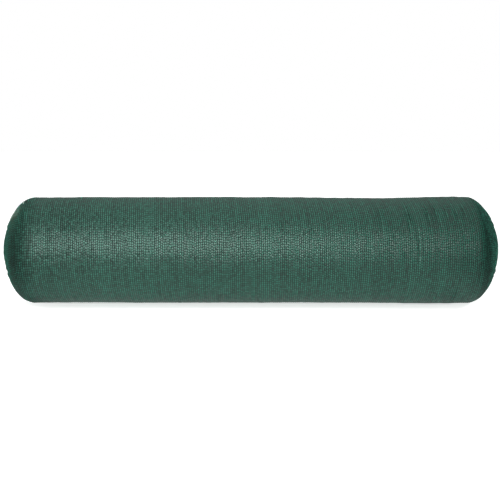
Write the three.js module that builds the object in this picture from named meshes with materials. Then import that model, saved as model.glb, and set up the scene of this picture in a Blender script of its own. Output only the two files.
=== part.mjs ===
// Rolled privacy screen netting
//
// One length of knitted plastic net, wound on itself without a core. The roll lies along X on z = 0, with the
// side that is looked at towards -Y. The net comes up the front, over the top and down the back, where its
// loose end lies low down. The outer turns curl in over both ends, and the inner turns stand out past them.
import * as THREE from 'three';

// Driving dimensions in millimetres
const NET_LENGTH = 25000;
const ROLL_RADIUS = 108;
const ROLL_LENGTH = 992;

// Each turn takes up this much of the radius, worked out from the length that is wound into the roll
const TURN_PITCH = Math.PI * ROLL_RADIUS ** 2 / NET_LENGTH;

// The roll has sagged a little under its own weight: wider than high, on a narrow flat
const SAG = 0.9;
const FLAT_HALF_WIDTH = 22;
const AXIS_HEIGHT = Math.sqrt((ROLL_RADIUS - SAG) ** 2 - FLAT_HALF_WIDTH ** 2);

// The back swells out more than the front, so the axis lies this far forward of the middle of the box
const AXIS_FORWARD = 0.62;

// A shoulder is a quarter of a superellipse, its depth along X and its drop towards the axis as shares of the
// radius. The outer turns follow it as far as their selvedge, and the ends of the inner turns carry it on.
const SHOULDER_DEPTH = 0.55 * ROLL_RADIUS;
const SHOULDER_DROP = 0.97 * ROLL_RADIUS;
const SHOULDER_POWER = 1.8;
const SELVEDGE_RADIUS = 0.6 * ROLL_RADIUS;
const SELVEDGE_LIP = 1.2;

// Groups of inner turns that stand out past the dome, or have slipped in from it, by the radius at their outside
const INNER_TURNS = [
  { radius: 62, out: -2.6 },
  { radius: 51, out: -0.4 },
  { radius: 39, out: -1.8 },
  { radius: 27, out: 0.2 },
  { radius: 17, out: -1.4 },
];

// The hollow that is left where the winding began, pressed to an oval that is wider than high
const EYE_RADIUS = 9;
const EYE_FLOOR_RADIUS = 5;
const EYE_DEPTH = 14;
const EYE_OVAL = 0.32;
const EYE_OVAL_REACH = 26;

// The loose end at the back, in degrees around from the front, and how far it runs off square over the length
const LOOSE_END_ANGLE = 216;
const LOOSE_END_SKEW = 3.2;
const LOOSE_END_WAVE = 1.1;
const LOOSE_END_WAVE_LENGTH = 310;
const STEP_ANGLE = 0.9;

// The curled-in wrap puckers towards its selvedge
const PUCKER_HEIGHT = 0.9;
const PUCKER_COUNT = 13;

// Mesh steps around the roll, along its body and over a shoulder
const COLUMNS = 72;
const BODY_ROWS = 17;
const CREASED_ROWS = 22;
const SHOULDER_ROWS = 8;
const CREASED_FROM = 250;

// Broad dents and swellings of the outer turns: place along X, angle around from the front, half lengths along
// X and around, and height
const UNEVEN = [
  { x: 236, angle: 96, along: 105, around: 44, height: -2.1 },
  { x: 402, angle: 70, along: 58, around: 60, height: 0.9 },
  { x: 355, angle: -74, along: 70, around: 34, height: 1.6 },
  { x: 118, angle: 18, along: 90, around: 40, height: -0.8 },
  { x: -60, angle: 60, along: 130, around: 50, height: 0.7 },
  { x: -205, angle: 10, along: 95, around: 46, height: 0.8 },
  { x: -330, angle: -35, along: 85, around: 42, height: -0.9 },
  { x: -140, angle: 168, along: 120, around: 48, height: -1.6 },
  { x: 190, angle: 186, along: 110, around: 40, height: 1.3 },
  { x: -420, angle: 120, along: 50, around: 55, height: -1.2 },
];

// Slanted creases near one end: where each crosses the middle of its run, half its run around, its slant along
// X for each degree, its half width and its depth
const CREASES = [
  { x: 330, angle: 47, run: 20, slant: -0.75, width: 7, depth: 1.7 },
  { x: 368, angle: 52, run: 17, slant: -0.85, width: 6, depth: 1.3 },
  { x: 399, angle: 44, run: 20, slant: -0.8, width: 7, depth: 1.5 },
  { x: 414, angle: -56, run: 18, slant: 0.9, width: 7, depth: 1.7 },
  { x: 322, angle: -60, run: 15, slant: 0.8, width: 6, depth: 1.1 },
  { x: 390, angle: 4, run: 16, slant: 0.2, width: 7, depth: 0.9 },
];

const radians = THREE.MathUtils.degToRad;
const FULL_TURN = 2 * Math.PI;

// A smooth hump, 1 in its middle and near nothing past two half lengths
function hump(distance, halfLength) {
  return Math.exp(-((distance / halfLength) ** 2));
}

// The shorter way around from one angle to another, in degrees
function degreesApart(a, b) {
  return ((a - b) % 360 + 540) % 360 - 180;
}

function looseEndAngle(x) {
  const skew = LOOSE_END_SKEW * x / ROLL_LENGTH;
  const wave = LOOSE_END_WAVE * Math.sin(FULL_TURN * x / LOOSE_END_WAVE_LENGTH);
  return LOOSE_END_ANGLE + skew + wave;
}

function unevenness(x, angle) {
  let height = 0;
  for (const swell of UNEVEN) {
    const around = degreesApart(angle, swell.angle);
    height += swell.height * hump(x - swell.x, swell.along) * hump(around, swell.around);
  }
  for (const crease of CREASES) {
    const around = degreesApart(angle, crease.angle);
    const off = x - crease.x - crease.slant * around;
    height -= crease.depth * hump(off, crease.width) * hump(around, crease.run);
  }
  return height;
}

// Radius of the outer turn on the body: it gains one pitch in the turn that follows the loose end
function bodyRadius(x, angle, turned) {
  const sag = SAG * Math.cos(2 * radians(angle));
  return ROLL_RADIUS + sag + TURN_PITCH * (turned - 0.5) + unevenness(x, angle);
}

// A row is one ring of the surface: how far it reaches from the middle of the roll, its radius, and how
// strongly it puckers
function shoulderRow(swing) {
  const power = 2 / SHOULDER_POWER;
  const out = SHOULDER_DEPTH * Math.sin(swing) ** power;
  const drop = SHOULDER_DROP * (1 - Math.cos(swing) ** power);
  return {
    reach: ROLL_LENGTH / 2 - SHOULDER_DEPTH + out,
    radius: ROLL_RADIUS - drop,
  };
}

// The swing at which the shoulder has come in to a given radius
function swingAt(radius) {
  const share = 1 - (ROLL_RADIUS - radius) / SHOULDER_DROP;
  return Math.acos(share ** (SHOULDER_POWER / 2));
}

// One end of the roll, from the body out over the shoulder and in to the eye
function endRows() {
  const selvedgeSwing = swingAt(SELVEDGE_RADIUS);
  const rows = [];
  for (let i = 1; i <= SHOULDER_ROWS; i += 1) {
    const swing = selvedgeSwing * i / SHOULDER_ROWS;
    const pucker = (i / SHOULDER_ROWS) ** 2;
    rows.push({ ...shoulderRow(swing), pucker });
  }
  for (const turns of INNER_TURNS) {
    const radius = Math.min(turns.radius, SELVEDGE_RADIUS - SELVEDGE_LIP);
    const dome = shoulderRow(swingAt(radius));
    rows.push({ reach: dome.reach + turns.out, radius, pucker: 0 });
  }
  const rim = shoulderRow(swingAt(EYE_RADIUS));
  rows.push({ reach: rim.reach, radius: EYE_RADIUS, pucker: 0 });
  rows.push({ reach: rim.reach - EYE_DEPTH, radius: EYE_FLOOR_RADIUS, pucker: 0 });
  return rows;
}

// Rows along the body between the two shoulders, closer together where it is creased
function bodyRows() {
  const half = ROLL_LENGTH / 2 - SHOULDER_DEPTH;
  const rows = [];
  for (let i = 0; i < BODY_ROWS; i += 1) {
    rows.push(-half + (CREASED_FROM + half) * i / BODY_ROWS);
  }
  for (let i = 0; i <= CREASED_ROWS; i += 1) {
    rows.push(CREASED_FROM + (half - CREASED_FROM) * i / CREASED_ROWS);
  }
  return rows.map((x) => ({ x, radius: ROLL_RADIUS, pucker: 0 }));
}

function allRows() {
  const end = endRows();
  const right = end.map((row) => ({ x: row.reach, radius: row.radius, pucker: row.pucker }));
  const left = end.map((row) => ({ x: -row.reach, radius: row.radius, pucker: row.pucker })).reverse();
  return [...left, ...bodyRows(), ...right];
}

// One point of the surface, set down on the flat that the roll rests on
function surfacePoint(row, turned) {
  const angle = looseEndAngle(row.x) + STEP_ANGLE / 2 + (360 - STEP_ANGLE) * turned;
  const turn = radians(angle);
  const share = row.radius / ROLL_RADIUS;
  const oval = row.radius < SELVEDGE_RADIUS ? EYE_OVAL * hump(row.radius - EYE_RADIUS, EYE_OVAL_REACH) : 0;
  const lobes = Math.cos(PUCKER_COUNT * turn) + 0.6 * Math.cos((PUCKER_COUNT - 4) * turn + 1);
  const radius = bodyRadius(row.x, angle, turned) * share + PUCKER_HEIGHT * row.pucker * lobes;
  return [
    row.x,
    -AXIS_FORWARD - radius * (1 + oval) * Math.cos(turn),
    Math.max(0, AXIS_HEIGHT + radius * (1 - oval) * Math.sin(turn)),
  ];
}

// The whole skin: a ring for each row, closed by a fan on the floor of each eye
function rollGeometry() {
  const rows = allRows();
  const positions = [];
  const faces = [];
  for (const row of rows) {
    for (let column = 0; column < COLUMNS; column += 1) {
      positions.push(...surfacePoint(row, column / (COLUMNS - 1)));
    }
  }
  for (let ring = 0; ring < rows.length - 1; ring += 1) {
    for (let column = 0; column < COLUMNS; column += 1) {
      const next = (column + 1) % COLUMNS;
      const a = ring * COLUMNS + column;
      const b = ring * COLUMNS + next;
      const c = a + COLUMNS;
      const d = b + COLUMNS;
      faces.push(a, c, b, b, c, d);
    }
  }
  const lastRing = (rows.length - 1) * COLUMNS;
  const leftCentre = positions.length / 3;
  const rightCentre = leftCentre + 1;
  positions.push(rows[0].x, -AXIS_FORWARD, AXIS_HEIGHT);
  positions.push(rows[rows.length - 1].x, -AXIS_FORWARD, AXIS_HEIGHT);
  for (let column = 0; column < COLUMNS; column += 1) {
    const next = (column + 1) % COLUMNS;
    faces.push(leftCentre, column, next);
    faces.push(rightCentre, lastRing + next, lastRing + column);
  }
  const geometry = new THREE.BufferGeometry();
  geometry.setAttribute('position', new THREE.Float32BufferAttribute(positions, 3));
  geometry.setIndex(faces);
  geometry.computeVertexNormals();
  return geometry;
}

function netMaterial() {
  return new THREE.MeshStandardMaterial({ color: 0x3f5f55, roughness: 0.62, metalness: 0 });
}

function netRoll() {
  const mesh = new THREE.Mesh(rollGeometry(), netMaterial());
  mesh.name = 'net_roll';
  return mesh;
}

const netting = new THREE.Group();
netting.add(netRoll());

export default netting;
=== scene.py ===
"""Rolled privacy screen netting: the outer turn of knitted net, the ends of the inner turns, the studio."""

import math
from types import SimpleNamespace

import bpy
import numpy as np
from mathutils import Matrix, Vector


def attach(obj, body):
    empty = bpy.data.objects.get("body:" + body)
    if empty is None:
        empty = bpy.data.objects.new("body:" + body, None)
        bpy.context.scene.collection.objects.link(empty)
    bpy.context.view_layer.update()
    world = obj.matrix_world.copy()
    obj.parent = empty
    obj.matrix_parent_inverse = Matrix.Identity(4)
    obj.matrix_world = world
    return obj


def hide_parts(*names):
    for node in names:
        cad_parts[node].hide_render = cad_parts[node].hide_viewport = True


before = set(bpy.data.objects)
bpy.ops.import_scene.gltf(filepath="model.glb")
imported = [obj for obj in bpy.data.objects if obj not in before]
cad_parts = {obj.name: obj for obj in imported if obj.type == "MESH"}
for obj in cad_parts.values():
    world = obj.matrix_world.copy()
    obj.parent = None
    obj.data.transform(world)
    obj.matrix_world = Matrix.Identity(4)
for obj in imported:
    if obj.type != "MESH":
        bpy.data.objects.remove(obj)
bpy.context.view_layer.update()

MM = 0.001
FULL_TURN = 2 * math.pi

# The wound form, as in the solid, in metres
ROLL_RADIUS = 108 * MM
ROLL_LENGTH = 992 * MM
NET_LENGTH = 25.0
NET_WIDTH = 1.0
TURN_PITCH = math.pi * ROLL_RADIUS**2 / NET_LENGTH
SAG = 0.9 * MM
FLAT_HALF_WIDTH = 22 * MM
AXIS_HEIGHT = math.sqrt((ROLL_RADIUS - SAG) ** 2 - FLAT_HALF_WIDTH**2)
AXIS_FORWARD = 0.62 * MM
SHOULDER_DEPTH = 0.55 * ROLL_RADIUS
SHOULDER_DROP = 0.97 * ROLL_RADIUS
SHOULDER_POWER = 1.8
SHOULDER_STEPS = 600
BODY_HALF = ROLL_LENGTH / 2 - SHOULDER_DEPTH
SELVEDGE_RADIUS = 0.6 * ROLL_RADIUS

# The loose end at the back, in degrees around from the front
LOOSE_END_ANGLE = 216
LOOSE_END_SKEW = 3.2
LOOSE_END_WAVE = 1.1
LOOSE_END_WAVE_LENGTH = 310 * MM

# Broad dents and swellings: x and half length along X, angle and half width around in degrees, height. The
# last four are at the shoulders.
UNEVEN = [
    dict(x=0.236, angle=96, along=0.105, around=44, height=-2.1 * MM),
    dict(x=0.402, angle=70, along=0.058, around=60, height=0.9 * MM),
    dict(x=0.355, angle=-74, along=0.070, around=34, height=1.6 * MM),
    dict(x=0.118, angle=18, along=0.090, around=40, height=-0.8 * MM),
    dict(x=-0.060, angle=60, along=0.130, around=50, height=0.7 * MM),
    dict(x=-0.205, angle=10, along=0.095, around=46, height=0.8 * MM),
    dict(x=-0.330, angle=-35, along=0.085, around=42, height=-0.9 * MM),
    dict(x=-0.140, angle=168, along=0.120, around=48, height=-1.6 * MM),
    dict(x=0.190, angle=186, along=0.110, around=40, height=1.3 * MM),
    dict(x=-0.420, angle=120, along=0.050, around=55, height=-1.2 * MM),
    dict(x=-0.470, angle=-80, along=0.020, around=44, height=4.0 * MM),
    dict(x=-0.472, angle=88, along=0.024, around=52, height=2.6 * MM),
    dict(x=0.470, angle=-80, along=0.020, around=40, height=3.4 * MM),
    dict(x=0.470, angle=84, along=0.018, around=46, height=-1.9 * MM),
]

# Creases near one end, each a trough with a ridge along its right: middle, half run around in degrees, slant
# in metres for each degree, half width and depth
CREASES = [
    dict(x=0.2480, angle=48, run=15, slant=-0.18 * MM, width=1.9 * MM, depth=1.5 * MM),
    dict(x=0.3026, angle=46, run=21, slant=-0.16 * MM, width=2.0 * MM, depth=2.6 * MM),
    dict(x=0.3202, angle=10, run=15, slant=-0.04 * MM, width=2.0 * MM, depth=1.6 * MM),
    dict(x=0.3390, angle=51, run=14, slant=-0.27 * MM, width=2.0 * MM, depth=2.2 * MM),
    dict(x=0.3560, angle=50, run=14, slant=-0.46 * MM, width=2.0 * MM, depth=2.3 * MM),
    dict(x=0.3743, angle=54, run=11, slant=-0.44 * MM, width=1.9 * MM, depth=1.9 * MM),
    dict(x=0.3960, angle=50, run=14, slant=-0.33 * MM, width=2.0 * MM, depth=2.0 * MM),
    dict(x=0.4120, angle=54, run=11, slant=-0.10 * MM, width=1.9 * MM, depth=1.7 * MM),
    dict(x=0.3972, angle=-46, run=16, slant=0.10 * MM, width=2.1 * MM, depth=2.3 * MM),
    dict(x=0.3050, angle=-52, run=12, slant=0.22 * MM, width=1.9 * MM, depth=1.5 * MM),
    dict(x=0.3620, angle=-50, run=13, slant=0.30 * MM, width=1.9 * MM, depth=1.3 * MM),
]

# The ridge beside a crease: its height as a share of the depth, its place and width as shares of the width
RIDGE_HEIGHT = 0.5
RIDGE_PLACE = 2.0
RIDGE_WIDTH = 1.3

# The knit: ribs of stitches run around the roll, and the relief has two columns of points to a rib
WALE_PITCH = 4.0 * MM
COURSE_PITCH = 5.0 * MM
WALES = round(NET_WIDTH / WALE_PITCH)
RIB_HEIGHT = 0.5 * MM
RIB_PROFILE = (-1.0, 1.0)
NET_THICKNESS = 1.2 * MM
TUCK = 3.0 * MM

# The net that is wrapped around last lies a little slack on the roll
WRAP_SLACK = 0.6 * MM

# The outer turn starts this share of a turn under its own loose end
START_SHARE = -0.07
WRAP_ROWS = 182

# The cloth of the outer turn drifts along X as it comes over the top, and back again down the back
DRIFT = -10 * MM
DRIFT_LEFT = -3 * MM
DRIFT_OUT = (15, 100)
DRIFT_BACK = (110, 200)

# Bands where the net is wound slacker or tighter: their height, and their sizes across the net and around
BANDS = [
    dict(height=0.30 * MM, across=14 * MM, around=210 * MM, seed=3),
    dict(height=0.22 * MM, across=6 * MM, around=90 * MM, seed=4),
    dict(height=0.35 * MM, across=55 * MM, around=60 * MM, seed=5),
]

# The loose end lifts off the turn below it, more in some places than in others
LIFT = 1.3 * MM
LIFT_VARIES = dict(height=1.1 * MM, across=70 * MM, around=400 * MM, seed=6)
LIFT_REACH = 16 * MM

# The cloth that is gathered towards a selvedge puckers in fine and broad folds, so many around the roll. Each
# wander moves them to and fro: how far, how many times around, and its phase at either end.
PUCKER_HEIGHT = 0.7 * MM
PUCKER_FROM = BODY_HALF + 30 * MM
PUCKER_GROWTH = 1.5
FINE_FOLDS = 27
BROAD_FOLDS = 17
BROAD_HEIGHT = 0.55
BROAD_WANDER = -1.7
WANDERS = ((0.9, 3, 1), (0.6, 5, -2))

# Smooth noise is read from a square of random heights, starting well inside it
NOISE_GRID = 512
NOISE_START = 200

# The maps for baking: the margin that the wrap's map leaves on each side, and half the width of an end's map
BAKE_MARGIN = 0.002
END_BAKE_HALF = 0.49


def hump(distance, half_length):
    """A smooth hump, 1 in its middle and near nothing past two half lengths."""
    return np.exp(-((distance / half_length) ** 2))


def ease(value, low, high):
    """0 below low, 1 above high, smooth between."""
    share = np.clip((value - low) / (high - low), 0, 1)
    return share * share * (3 - 2 * share)


def degrees_apart(a, b):
    """The shorter way around from one angle to another, in degrees."""
    return (a - b + 180) % 360 - 180


def loose_end_angle(x):
    """Where the loose end lies, in degrees around from the front: a little off square, and wavy."""
    skew = LOOSE_END_SKEW * x / ROLL_LENGTH
    wave = LOOSE_END_WAVE * np.sin(FULL_TURN * x / LOOSE_END_WAVE_LENGTH)
    return LOOSE_END_ANGLE + skew + wave


def unevenness(x, angle):
    """Height of the broad dents and swellings."""
    height = np.zeros_like(angle)
    for swell in UNEVEN:
        around = degrees_apart(angle, swell["angle"])
        height += swell["height"] * hump(x - swell["x"], swell["along"]) * hump(around, swell["around"])
    return height


def creasing(x, angle):
    """Troughs with a low ridge along one side."""
    height = np.zeros_like(angle)
    for crease in CREASES:
        width = crease["width"]
        around = degrees_apart(angle, crease["angle"])
        off = x - crease["x"] - crease["slant"] * around
        trough = hump(off, width) - RIDGE_HEIGHT * hump(off - RIDGE_PLACE * width, RIDGE_WIDTH * width)
        height -= crease["depth"] * trough * hump(around, crease["run"])
    return height


def body_radius(x, angle, turned):
    """Radius of the outer turn on the body: it gains one pitch in a turn."""
    sag = SAG * np.cos(2 * np.radians(angle))
    return ROLL_RADIUS + sag + TURN_PITCH * (turned - 0.5) + unevenness(x, angle)


def shoulder(swing):
    """Reach from the middle of the roll and radius of the outer turn, swung some way over the shoulder."""
    power = 2 / SHOULDER_POWER
    reach = BODY_HALF + SHOULDER_DEPTH * np.sin(swing) ** power
    radius = ROLL_RADIUS - SHOULDER_DROP * (1 - np.cos(swing) ** power)
    return reach, radius


def profile_table():
    """The outer turn's profile from the middle of the roll to the eye: path length, reach, radius."""
    reach, radius = shoulder(np.linspace(0, math.pi / 2, SHOULDER_STEPS))
    reach = np.concatenate([[0], reach])
    radius = np.concatenate([[ROLL_RADIUS], radius])
    path = np.concatenate([[0], np.cumsum(np.hypot(np.diff(reach), np.diff(radius)))])
    return path, reach, radius


PATH, REACH, RADIUS = profile_table()


def on_profile(path):
    """x, radius and the outward slope (along X and along the radius) at a signed path length."""
    far = np.abs(path)
    reach = np.interp(far, PATH, REACH)
    radius = np.interp(far, PATH, RADIUS)
    step = 0.5 * MM
    ahead_reach = np.interp(far + step, PATH, REACH) - np.interp(far - step, PATH, REACH)
    ahead_radius = np.interp(far + step, PATH, RADIUS) - np.interp(far - step, PATH, RADIUS)
    length = np.hypot(ahead_reach, ahead_radius)
    side = np.sign(path)
    return side * reach, radius, -side * ahead_radius / length, ahead_reach / length


def dome_reach(radius):
    """How far the dome of an end reaches from the middle of the roll at a radius."""
    return np.interp(-radius, -RADIUS[1:], REACH[1:])


def soft_noise(first, second, first_cell, second_cell, seed):
    """Smooth random heights from -1 to 1, with cells of the given sizes along two coordinates."""
    grid = np.random.default_rng(seed).uniform(-1, 1, (NOISE_GRID, NOISE_GRID))
    first = first / first_cell + NOISE_START
    second = second / second_cell + NOISE_START
    row = np.floor(first).astype(int)
    column = np.floor(second).astype(int)
    down = ease(first - row, 0, 1)
    right = ease(second - column, 0, 1)
    row, next_row = row % NOISE_GRID, (row + 1) % NOISE_GRID
    column, next_column = column % NOISE_GRID, (column + 1) % NOISE_GRID
    near = grid[row, column] * (1 - right) + grid[row, next_column] * right
    far = grid[next_row, column] * (1 - right) + grid[next_row, next_column] * right
    return near * (1 - down) + far * down


def varied(kind, across, around, seed=0):
    """Heights of one kind of unevenness, whose row gives its height, its cells and its own seed."""
    return kind["height"] * soft_noise(across, around, kind["across"], kind["around"], kind["seed"] + seed)


def to_frame(x, radius, angle):
    """Points of the row frame from x, radius and the angle around from the front, none below the surface."""
    turn = np.radians(angle)
    y = -AXIS_FORWARD - radius * np.cos(turn)
    z = np.maximum(0, AXIS_HEIGHT + radius * np.sin(turn))
    return np.stack([x, y, z], axis=-1)


def grid_mesh(name, points, uv, bake_uv):
    """A mesh from a grid of points, with the net's own coordinates and a tidy map for baking."""
    rows, columns = points.shape[:2]
    index = np.arange(rows * columns).reshape(rows, columns)
    corners = [index[:-1, :-1], index[:-1, 1:], index[1:, 1:], index[1:, :-1]]
    quads = np.stack(corners, axis=-1).reshape(-1, len(corners))
    mesh = bpy.data.meshes.new(name)
    mesh.vertices.add(rows * columns)
    mesh.vertices.foreach_set("co", points.reshape(-1).astype(np.float32))
    mesh.loops.add(quads.size)
    mesh.loops.foreach_set("vertex_index", quads.reshape(-1).astype(np.int32))
    mesh.polygons.add(len(quads))
    mesh.polygons.foreach_set("loop_start", np.arange(0, quads.size, len(corners), dtype=np.int32))
    for layer, values in (("net", uv), ("OFBake", bake_uv)):
        flat = values.reshape(-1, 2)[quads.reshape(-1)]
        mesh.uv_layers.new(name=layer).data.foreach_set("uv", flat.reshape(-1).astype(np.float32))
    mesh.update(calc_edges=True)
    mesh.polygons.foreach_set("use_smooth", np.ones(len(quads), bool))
    mesh.validate()
    piece = bpy.data.objects.new(name, mesh)
    bpy.context.scene.collection.objects.link(piece)
    return piece


def wrap_columns():
    """Places across the net's width, two to a wale, then each selvedge turned under: place, rib and depth."""
    steps = len(RIB_PROFILE)
    count = WALES * steps + 1
    across = (np.arange(count) / steps) * WALE_PITCH - NET_WIDTH / 2
    rib = np.resize(RIB_PROFILE, count) * RIB_HEIGHT / 2
    half = NET_WIDTH / 2
    across = np.concatenate([[-half + TUCK, -half], across, [half, half - TUCK]])
    rib = np.concatenate([[0, 0], rib, [0, 0]])
    under = np.zeros(len(across))
    under[[0, 1, -2, -1]] = NET_THICKNESS
    return across, rib, under


def wrap_rows():
    """Shares of a turn from the start under the loose end to the loose end, then its edge turned under."""
    turned = np.linspace(START_SHARE, 1, WRAP_ROWS)
    tuck = TUCK / (FULL_TURN * ROLL_RADIUS)
    turned = np.concatenate([turned, [1, 1 - tuck]])
    under = np.zeros(len(turned))
    under[-2:] = NET_THICKNESS
    return turned, under


def wrap_path(across, turned):
    """Path length from the middle of the roll, where the cloth has drifted along X."""
    angle = LOOSE_END_ANGLE + 360 * (turned - 1)
    drift = DRIFT * ease(angle, *DRIFT_OUT) - (DRIFT - DRIFT_LEFT) * ease(angle, *DRIFT_BACK)
    return across + drift


def wrap_relief(across, angle, turned, x):
    """Creases, bands where the net is wound slacker or tighter, and the lift of the loose end."""
    around = np.radians(angle) * ROLL_RADIUS
    height = WRAP_SLACK + creasing(x, angle)
    for band in BANDS:
        height += varied(band, across, around)
    from_edge = (1 - turned) * FULL_TURN * ROLL_RADIUS
    lift = LIFT + varied(LIFT_VARIES, across, from_edge)
    return height + lift * hump(from_edge, LIFT_REACH)


def puckers(path, angle):
    """Soft folds where the curled-in cloth is gathered towards its selvedge."""
    side = np.sign(path)
    inward = ease(np.abs(path), PUCKER_FROM, NET_WIDTH / 2)
    turn = np.radians(angle)
    wander = sum(reach * np.sin(count * turn + phase * side) for reach, count, phase in WANDERS)
    folds = np.cos(FINE_FOLDS * turn + wander + side)
    folds += BROAD_HEIGHT * np.cos(BROAD_FOLDS * turn + BROAD_WANDER * wander + 2 * side)
    return PUCKER_HEIGHT * inward**PUCKER_GROWTH * folds


def make_wrap():
    """The outer turn of the net, from its start under the loose end round to the loose end."""
    across, rib, under_side = wrap_columns()
    turned, under_end = wrap_rows()
    across, turned = np.meshgrid(across, turned)
    under = np.maximum(under_side[None, :], under_end[:, None])
    rib = np.where(under > 0, 0, np.broadcast_to(rib, across.shape))
    path = wrap_path(across, turned)
    x, radius, normal_x, normal_r = on_profile(path)
    angle = loose_end_angle(x) + 360 * turned
    outer = body_radius(x, angle, turned) * (radius / ROLL_RADIUS)
    height = wrap_relief(across, angle, turned, x) + puckers(path, angle) + rib - under
    points = to_frame(x + height * normal_x, outer + height * normal_r, angle)
    wales = (across + NET_WIDTH / 2) / WALE_PITCH
    courses = turned * FULL_TURN * ROLL_RADIUS / COURSE_PITCH
    rows, columns = across.shape
    bake_across = np.linspace(BAKE_MARGIN, 1 - BAKE_MARGIN, columns)
    bake_along = np.linspace(BAKE_MARGIN, 1 - BAKE_MARGIN, rows)
    bake_uv = np.stack(np.meshgrid(bake_across, bake_along), -1)
    return grid_mesh("net_wrap", points, np.stack([wales, courses], -1), bake_uv)


# The ends of the inner turns
TURNS_SHOWN = 38
TURN_STEPS = 200
FIRST_TURN_ANGLE = 140
SLACK_FROM = 22
SLACK_GROWTH = 0.075 * MM
OUT_OF_ROUND = 0.012
OUT_OF_ROUND_LOBES = 3

# The eye, pressed to an oval that is wider than high, and its rings from the floor up: depth as a share of
# the whole, and width as a share of the rim
EYE_RADIUS = 9 * MM
EYE_DEPTH = 14 * MM
EYE_OVAL = 0.32
EYE_OVAL_REACH = 26 * MM
EYE_RINGS = ((1.0, 0.02), (1.0, 0.45), (0.75, 0.62), (0.35, 0.86))

# Cross-section of one turn's end, as shares of its pitch and heights: upright near the eye, and lying over
# like a shingle towards the selvedge of the outer turn, by radius
UPRIGHT = dict(at=(0.0, 0.2, 0.5, 0.8), height=(-1.1 * MM, -0.2 * MM, 0.0, -0.2 * MM))
SHINGLE = dict(at=(0.0, 0.12, 0.5, 0.85), height=(-1.2 * MM, 0.3 * MM, 0.0, -0.6 * MM))
SHINGLED = (34 * MM, 58 * MM)

# Groups of inner turns that stand out or have slipped in, by radius
SLIPPED = dict(radius=(0, 17 * MM, 27 * MM, 39 * MM, 51 * MM, 62 * MM, 90 * MM),
               out=(0, -1.4 * MM, 0.4 * MM, -0.6 * MM, 0.6 * MM, -0.8 * MM, -2.4 * MM))

# Single turns that stand out or in, and fine flutes along each, with cells in turns and in degrees
TURN_BANDS = [
    dict(height=0.55 * MM, across=1.0, around=70, seed=0),
    dict(height=0.5 * MM, across=3.2, around=50, seed=2),
]
FLUTES = dict(height=0.22 * MM, across=1 / 7, around=9, seed=4)
END_SEEDS = {-1: 39, 1: 41}

# The inner turns show the crown of one wale each, taken from the middle of the net
END_WALE = WALES / 2 + 0.5
END_WALE_SPREAD = 0.3


def spiral_radius(turn):
    """Radius of a turn, wider apart where the ends are slack."""
    slack = np.maximum(0, turn - SLACK_FROM)
    return EYE_RADIUS + TURN_PITCH * turn + SLACK_GROWTH * slack**2 / 2


def turn_section(along):
    """The points of a turn's cross-section along the spiral: place as a share of the pitch, and height."""
    shingled = ease(spiral_radius(along), *SHINGLED)
    section = []
    for upright_at, upright, shingle_at, shingle in zip(*UPRIGHT.values(), *SHINGLE.values()):
        at = upright_at + (shingle_at - upright_at) * shingled
        section.append((at, upright + (shingle - upright) * shingled))
    return section


def make_turns(side):
    """The spiral of turn ends at one end: a line of points, and of net places, for each section point."""
    along = np.arange(TURNS_SHOWN * TURN_STEPS + 1) / TURN_STEPS
    angle = side * 360 * along + FIRST_TURN_ANGLE
    turn_angle = np.radians(angle)
    whole = np.floor(along)
    uneven = varied(FLUTES, whole, angle, END_SEEDS[side])
    for band in TURN_BANDS:
        uneven += varied(band, along, angle, END_SEEDS[side])
    lines, places = [], []
    for at, height in turn_section(along):
        radius = spiral_radius(along + at)
        slip = np.interp(radius, SLIPPED["radius"], SLIPPED["out"])
        reach = dome_reach(radius) + slip + height + uneven
        oval = EYE_OVAL * hump(radius - EYE_RADIUS, EYE_OVAL_REACH)
        lobes = np.sin(OUT_OF_ROUND_LOBES * turn_angle) * (radius / SELVEDGE_RADIUS)
        round_radius = radius * (1 + OUT_OF_ROUND * lobes)
        y = -AXIS_FORWARD - round_radius * (1 + oval) * np.cos(turn_angle)
        z = AXIS_HEIGHT + round_radius * (1 - oval) * np.sin(turn_angle)
        lines.append(np.stack([side * reach, y, z], -1))
        wale = END_WALE + whole + END_WALE_SPREAD * (at - 0.5)
        places.append(np.stack([wale, along * FULL_TURN * radius / COURSE_PITCH], -1))
    return lines, places


def eye_wall(rim, rim_places, side):
    """Rings from the floor of the eye up to just below its rim."""
    axis = np.array([-AXIS_FORWARD, AXIS_HEIGHT])
    rings, places = [], []
    for depth, width in EYE_RINGS:
        ring = rim.copy()
        ring[:, 1:] = axis + (ring[:, 1:] - axis) * width
        ring[:, 0] -= side * depth * EYE_DEPTH
        rings.append(ring)
        places.append(np.stack([np.full(len(rim), END_WALE + width), rim_places[:, 1]], -1))
    return rings, places


def make_end(name, side):
    """One end: the wall of the eye, then the spiral, one turn for each block of cross-section points."""
    lines, line_places = make_turns(side)
    first_turn = slice(0, TURN_STEPS + 1)
    grid, places = eye_wall(lines[0][first_turn], line_places[0][first_turn], side)
    for turn in range(TURNS_SHOWN - 1):
        span = slice(turn * TURN_STEPS, (turn + 1) * TURN_STEPS + 1)
        grid += [line[span] for line in lines]
        places += [place[span] for place in line_places]
    grid, places = np.array(grid), np.array(places)
    if side < 0:
        grid, places = grid[:, ::-1], places[:, ::-1]
    off_axis = grid[..., 1:] - np.array([-AXIS_FORWARD, AXIS_HEIGHT])
    bake_uv = 0.5 + END_BAKE_HALF * off_axis / np.abs(off_axis).max()
    return grid_mesh(name, grid, places, bake_uv)


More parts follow.
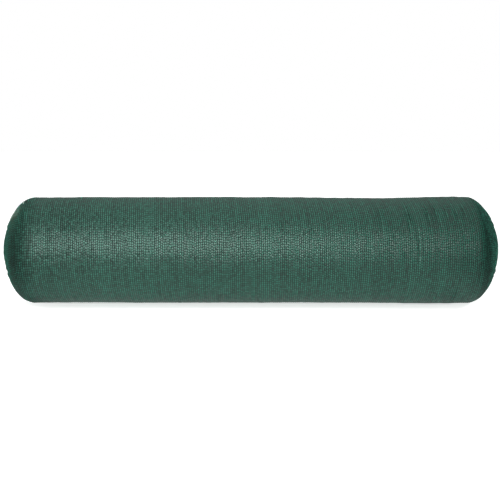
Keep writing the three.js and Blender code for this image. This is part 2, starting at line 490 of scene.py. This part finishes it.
class Nodes:
    """Short names for the few node kinds that the materials use."""

    def __init__(self, tree):
        self.tree = tree

    def new(self, kind, **settings):
        node = self.tree.nodes.new(kind)
        for key, value in settings.items():
            setattr(node, key, value)
        return node

    def put(self, socket, value):
        if isinstance(value, bpy.types.NodeSocket):
            self.tree.links.new(value, socket)
        else:
            socket.default_value = value

    def math(self, operation, *values):
        node = self.new("ShaderNodeMath", operation=operation)
        for socket, value in zip(node.inputs, values):
            self.put(socket, value)
        return node.outputs[0]

    def less(self, value, amount, share):
        """The value, less a share of it where the amount is 1."""
        return self.math("MULTIPLY", value, self.math("MULTIPLY_ADD", amount, -share, 1.0))

    def signed(self, value):
        """The place within a unit step, from -1 to 1."""
        return self.math("MULTIPLY_ADD", self.math("FRACT", value), 2.0, -1.0)

    def vector(self, x, y, z=0.0):
        node = self.new("ShaderNodeCombineXYZ")
        for socket, value in zip(node.inputs, (x, y, z)):
            self.put(socket, value)
        return node.outputs[0]

    def split(self, vector):
        node = self.new("ShaderNodeSeparateXYZ")
        self.put(node.inputs[0], vector)
        return node.outputs

    def vector_math(self, operation, *values):
        node = self.new("ShaderNodeVectorMath", operation=operation)
        for socket, value in zip(node.inputs, values):
            self.put(socket, value)
        return node.outputs[0]

    def scaled(self, colour, factor):
        return self.vector_math("MULTIPLY", colour, self.vector(factor, factor, factor))

    def noise(self, first, second, scales, detail):
        """Smooth noise over two coordinates, each with its own scale."""
        places = [self.math("MULTIPLY", place, scale) for place, scale in zip((first, second), scales)]
        node = self.new("ShaderNodeTexNoise")
        self.put(node.inputs["Vector"], self.vector(*places))
        self.put(node.inputs["Scale"], 1.0)
        self.put(node.inputs["Detail"], detail)
        return node.outputs[0]

    def white(self, x, y):
        """A random value and a random colour for each whole place."""
        node = self.new("ShaderNodeTexWhiteNoise", noise_dimensions="2D")
        self.put(node.inputs["Vector"], self.vector(x, y))
        return node.outputs["Value"], node.outputs["Color"]

    def ramp(self, value, low, high, low_out=0.0, high_out=1.0):
        node = self.new("ShaderNodeMapRange", interpolation_type="SMOOTHSTEP")
        for socket, number in zip(node.inputs, (value, low, high, low_out, high_out)):
            self.put(socket, number)
        return node.outputs[0]


# The knit's plan: how far each wale is shifted along itself, as a share of a course, and where a groove and a
# neck begin and are deepest, from the middle of a stitch to its edge
STAGGER = 0.7
WALE_SEED = 3.7
GROOVE = (0.26, 0.92)
NECK = (0.5, 1.0)

# Near each selvedge the net is gathered: from and to how many wales in from it, and how many more on the left
GATHERED = (7, 18)
UNEVEN_GATHER = 5

# The net's plastic: dark green, lighter on the crowns of the stitches, with painted shade in the grooves and
# necks and, faintly, near each selvedge, and a tone of its own for each stitch, wale, streak, band and patch
DARK_GREEN = (0.0107, 0.067, 0.0458)
CROWN_SHADE = 1.95
STITCH_SHADE = 0.70
WALE_SHADE = 0.30
STREAK_SHADE = 0.20
BAND_SHADE = 0.14
PATCH_SHADE = 0.07
# Painted shade in the grooves between wales and the necks between stitches, where the layers below lie in
# shade
GROOVE_PAINTED_SHADE = 0.90
NECK_PAINTED_SHADE = 0.72
# A faint painted shade on the net near each selvedge, where the domed ends turn away from the light
GATHERED_PAINTED_SHADE = 0.05

# Scales of the streaks, bands and patches, across and along the net, and their detail
STREAK_SCALES = (7.31, 0.35)
STREAK_DETAIL = 1.0
BAND_SCALES = (0.22, 0.016)
BAND_DETAIL = 3.0
PATCH_SCALES = (0.05, 0.06)
PATCH_DETAIL = 2.0

# Roughness of a stitch's crown, and what its own chance, its necks and the gathering add
ROUGH = 0.40
STITCH_ROUGH = 0.06
NECK_ROUGH = 0.20
GATHERED_ROUGH = 0.30
IOR = 1.5
SPECULAR_LEVEL = 0.42
SPECULAR_TINT = (0.79, 1.0, 0.92, 1.0)

# How far each stitch leans, as shares of the surface's own normal: over the rounded rib, along the stitch's
# bulge, its own way, and over towards the selvedge where the net is gathered
RIB_LEAN = 0.27
BULGE_LEAN = 0.23
STITCH_LEAN = 0.22
GATHERED_LEAN = 0.42


def knit_plan(nodes):
    """Where a point lies in the knit: in the net, in its own stitch, and how far towards a selvedge."""
    across, along, _ = nodes.split(nodes.new("ShaderNodeUVMap", uv_map="net").outputs[0])
    wale = nodes.math("FLOOR", across)
    wale_random, _ = nodes.white(wale, WALE_SEED)
    shifted = nodes.math("ADD", along, nodes.math("MULTIPLY", wale_random, STAGGER))
    stitch_random, stitch_colour = nodes.white(wale, nodes.math("FLOOR", shifted))
    over_rib = nodes.signed(across)
    over_stitch = nodes.signed(shifted)
    from_left = nodes.math("SUBTRACT", across, UNEVEN_GATHER)
    from_right = nodes.math("SUBTRACT", WALES, across)
    return SimpleNamespace(
        across=across,
        along=along,
        wale=wale,
        wale_random=wale_random,
        stitch_random=stitch_random,
        stitch_colour=stitch_colour,
        over_rib=over_rib,
        over_stitch=over_stitch,
        groove=nodes.ramp(nodes.math("ABSOLUTE", over_rib), *GROOVE),
        neck=nodes.ramp(nodes.math("ABSOLUTE", over_stitch), *NECK),
        gathered=nodes.ramp(nodes.math("MINIMUM", from_left, from_right), *GATHERED, 1.0, 0.0),
    )


def knit_colour(nodes, knit):
    """Dark green, varied by chance from stitch to stitch and wale to wale, with painted shade between
    stitches.
    """
    streak = nodes.noise(knit.wale, knit.along, STREAK_SCALES, STREAK_DETAIL)
    band = nodes.noise(knit.across, knit.along, BAND_SCALES, BAND_DETAIL)
    patch = nodes.noise(knit.across, knit.along, PATCH_SCALES, PATCH_DETAIL)
    lighter = (
        (knit.stitch_random, STITCH_SHADE),
        (knit.wale_random, WALE_SHADE),
        (streak, STREAK_SHADE),
        (band, BAND_SHADE),
        (patch, PATCH_SHADE),
    )
    # Painted shade: the grooves, the necks and the gathered net near each selvedge are darkened in the colour
    darker = (
        (knit.groove, GROOVE_PAINTED_SHADE),
        (knit.neck, NECK_PAINTED_SHADE),
        (knit.gathered, GATHERED_PAINTED_SHADE),
    )
    shade = CROWN_SHADE
    for value, share in lighter:
        shade = nodes.math("MULTIPLY_ADD", nodes.math("SUBTRACT", value, 0.5), 2 * share, shade)
    for value, share in darker:
        shade = nodes.less(shade, value, share)
    return nodes.scaled(nodes.vector(*DARK_GREEN), shade)


def knit_roughness(nodes, knit):
    """Glossiest on the crowns of the stitches, and duller in their necks and where the net is gathered."""
    rough = nodes.math("MULTIPLY_ADD", knit.stitch_random, STITCH_ROUGH, ROUGH)
    rough = nodes.math("MULTIPLY_ADD", knit.neck, NECK_ROUGH, rough)
    return nodes.math("MULTIPLY_ADD", knit.gathered, GATHERED_ROUGH, rough)


def knit_normal(nodes, knit):
    """The surface's normal, leaning with each stitch across and along the net."""
    normal = nodes.new("ShaderNodeNewGeometry").outputs["Normal"]
    tangent = nodes.new("ShaderNodeTangent", direction_type="UV_MAP", uv_map="net").outputs[0]
    upward = nodes.vector_math("CROSS_PRODUCT", normal, tangent)
    own = nodes.split(knit.stitch_colour)
    side = nodes.math("SIGN", nodes.math("SUBTRACT", knit.across, WALES / 2))
    outward = nodes.math("MULTIPLY", nodes.math("MULTIPLY", knit.gathered, side), GATHERED_LEAN)
    across = nodes.math("MULTIPLY_ADD", knit.over_rib, RIB_LEAN, outward)
    across = nodes.math("MULTIPLY_ADD", nodes.math("SUBTRACT", own[0], 0.5), STITCH_LEAN, across)
    along = nodes.math("MULTIPLY", knit.over_stitch, BULGE_LEAN)
    along = nodes.math("MULTIPLY_ADD", nodes.math("SUBTRACT", own[1], 0.5), STITCH_LEAN, along)
    leaning = nodes.vector_math("ADD", normal, nodes.scaled(tangent, across))
    leaning = nodes.vector_math("ADD", leaning, nodes.scaled(upward, along))
    return nodes.vector_math("NORMALIZE", leaning)


def net_material():
    material = bpy.data.materials.new("knitted_net")
    material.use_nodes = True
    nodes = Nodes(material.node_tree)
    knit = knit_plan(nodes)
    shader = nodes.tree.nodes["Principled BSDF"]
    nodes.put(shader.inputs["Base Color"], knit_colour(nodes, knit))
    nodes.put(shader.inputs["Roughness"], knit_roughness(nodes, knit))
    nodes.put(shader.inputs["Normal"], knit_normal(nodes, knit))
    shader.inputs["IOR"].default_value = IOR
    shader.inputs["Specular IOR Level"].default_value = SPECULAR_LEVEL
    shader.inputs["Specular Tint"].default_value = SPECULAR_TINT
    return material


# The camera looks at the roll's axis, square to it and a little from above
CAMERA_DISTANCE = 1.588
CAMERA_ELEVATION = 8
CAMERA_ASIDE = -2 * MM
LENS = 56.0
SENSOR_WIDTH = 36.0


def add_camera():
    data = bpy.data.cameras.new("camera")
    data.lens = LENS
    data.sensor_width = SENSOR_WIDTH
    camera = bpy.data.objects.new("camera", data)
    bpy.context.scene.collection.objects.link(camera)
    rise = math.radians(CAMERA_ELEVATION)
    target = Vector((CAMERA_ASIDE, -AXIS_FORWARD, AXIS_HEIGHT))
    back = Vector((0, -math.cos(rise), math.sin(rise)))
    camera.location = target + back * CAMERA_DISTANCE
    camera.rotation_euler = (-back).to_track_quat("-Z", "Y").to_euler()
    bpy.context.scene.camera = camera


# The lights, with powers in watts and spreads in degrees. The key light from above shades the form without
# gloss, the gloss light from the front gives the long sheen alone, and a weak fill behind each end lifts its
# edge.
KEY = dict(location=(-0.20, -0.50, 1.20), target=(-0.15, 0, 0.11), size=(0.6, 0.4), power=2.1, spread=120)
GLOSS = dict(location=(-0.32, -2.0, 0.82), target=(-0.25, 0, 0.12), size=(1.1, 0.85), power=6.4, spread=55)
END_FILL = dict(location=(1.90, 1.10, 0.50), target=(0.50, 0, 0.1), size=(0.2, 0.2), power=0.40, spread=14)


def add_area_light(name, location, target, size, power, spread, side=1, diffuse=True, gloss=True):
    """An area light, mirrored to the other end of the roll where the side is -1."""
    data = bpy.data.lights.new(name, "AREA")
    data.shape = "RECTANGLE"
    data.size, data.size_y = size
    data.energy = power
    data.spread = math.radians(spread)
    light = bpy.data.objects.new(name, data)
    bpy.context.scene.collection.objects.link(light)
    mirror = Vector((side, 1, 1))
    light.location = Vector(location) * mirror
    aim = (Vector(target) - Vector(location)) * mirror
    light.rotation_euler = aim.to_track_quat("-Z", "Y").to_euler()
    light.visible_diffuse = diffuse
    light.visible_glossy = gloss
    light.visible_camera = False


# How strongly the studio shines, and how that changes towards its sides, its back and overhead: from and to
# which share of a direction's length along that axis, and the share of the light that is lost there, or
# gained where it is negative
STUDIO_LIGHT = 1.12
SIDES = (0.18, 0.64, 0.97)
BACK = (0.30, 0.90, 0.66)
ZENITH = (0.30, 0.85, -0.16)
WHITE = (1, 1, 1, 1)


def add_world():
    """A backdrop that the camera sees white, in a studio darker at its sides and back, lighter overhead."""
    world = bpy.data.worlds.new("studio")
    bpy.context.scene.world = world
    world.use_nodes = True
    nodes = Nodes(world.node_tree)
    background = nodes.tree.nodes["Background"]
    x, y, z = nodes.split(nodes.new("ShaderNodeTexCoord").outputs["Generated"])
    studio = STUDIO_LIGHT
    for reach, (low, high, loss) in ((nodes.math("ABSOLUTE", x), SIDES), (y, BACK), (z, ZENITH)):
        studio = nodes.less(studio, nodes.ramp(reach, low, high), loss)
    seen = nodes.new("ShaderNodeLightPath").outputs["Is Camera Ray"]
    unseen = nodes.math("SUBTRACT", 1.0, seen)
    strength = nodes.math("ADD", nodes.math("MULTIPLY", unseen, studio), seen)
    nodes.put(background.inputs["Strength"], strength)
    background.inputs["Color"].default_value = WHITE


# The floor is white about the roll and greyer past its ends. It glows a little under the roll, and what the
# camera sees of it is whitened into the backdrop, all the more further out.
FLOOR_SPAN = 40
FLOOR_WHITE = 0.92
FLOOR_SIDE = 0.25
FLOOR_SIDE_REACH = (0.34, 0.62)
FLOOR_GLOW = 0.50
FLOOR_GLOW_REACH = (0.15, 0.80)
FLOOR_WHITEN = 0.15
FLOOR_ROUGH = 0.9


def floor_material():
    material = bpy.data.materials.new("pale_floor")
    material.use_nodes = True
    nodes = Nodes(material.node_tree)
    shader = nodes.tree.nodes["Principled BSDF"]
    x, y, _ = nodes.split(nodes.new("ShaderNodeTexCoord").outputs["Object"])
    side = nodes.ramp(nodes.math("ABSOLUTE", x), *FLOOR_SIDE_REACH)
    white = nodes.math("MULTIPLY_ADD", side, FLOOR_SIDE - FLOOR_WHITE, FLOOR_WHITE)
    nodes.put(shader.inputs["Base Color"], nodes.vector(white, white, white))
    away = nodes.math("MAXIMUM", side, nodes.ramp(nodes.math("ABSOLUTE", y), *FLOOR_GLOW_REACH))
    glow = nodes.math("MULTIPLY_ADD", away, -FLOOR_GLOW, FLOOR_GLOW)
    whiten = nodes.math("MULTIPLY_ADD", away, FLOOR_WHITE, FLOOR_WHITEN)
    seen = nodes.new("ShaderNodeLightPath").outputs["Is Camera Ray"]
    nodes.put(shader.inputs["Emission Strength"], nodes.math("MULTIPLY_ADD", whiten, seen, glow))
    shader.inputs["Emission Color"].default_value = WHITE
    shader.inputs["Roughness"].default_value = FLOOR_ROUGH
    return material


def add_floor():
    bpy.ops.mesh.primitive_plane_add(size=FLOOR_SPAN)
    floor = bpy.context.object
    floor.name = "floor"
    floor.data.materials.append(floor_material())


def dress(piece, material):
    """Give a piece its material, its body and its slot, in place of the solid roll."""
    piece.data.materials.append(material)
    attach(piece, "root")
    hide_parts("net_roll")


add_camera()
net = net_material()
wrap = make_wrap()
dress(wrap, net)
for end_name, end_side in (("turns_left", -1), ("turns_right", 1)):
    dress(make_end(end_name, end_side), net)

add_world()
add_floor()
add_area_light("key", **KEY, gloss=False)
add_area_light("gloss", **GLOSS, diffuse=False)
for end_side in (-1, 1):
    add_area_light("end_fill", **END_FILL, side=end_side, gloss=False)
bpy.context.scene.view_settings.view_transform = "Standard"
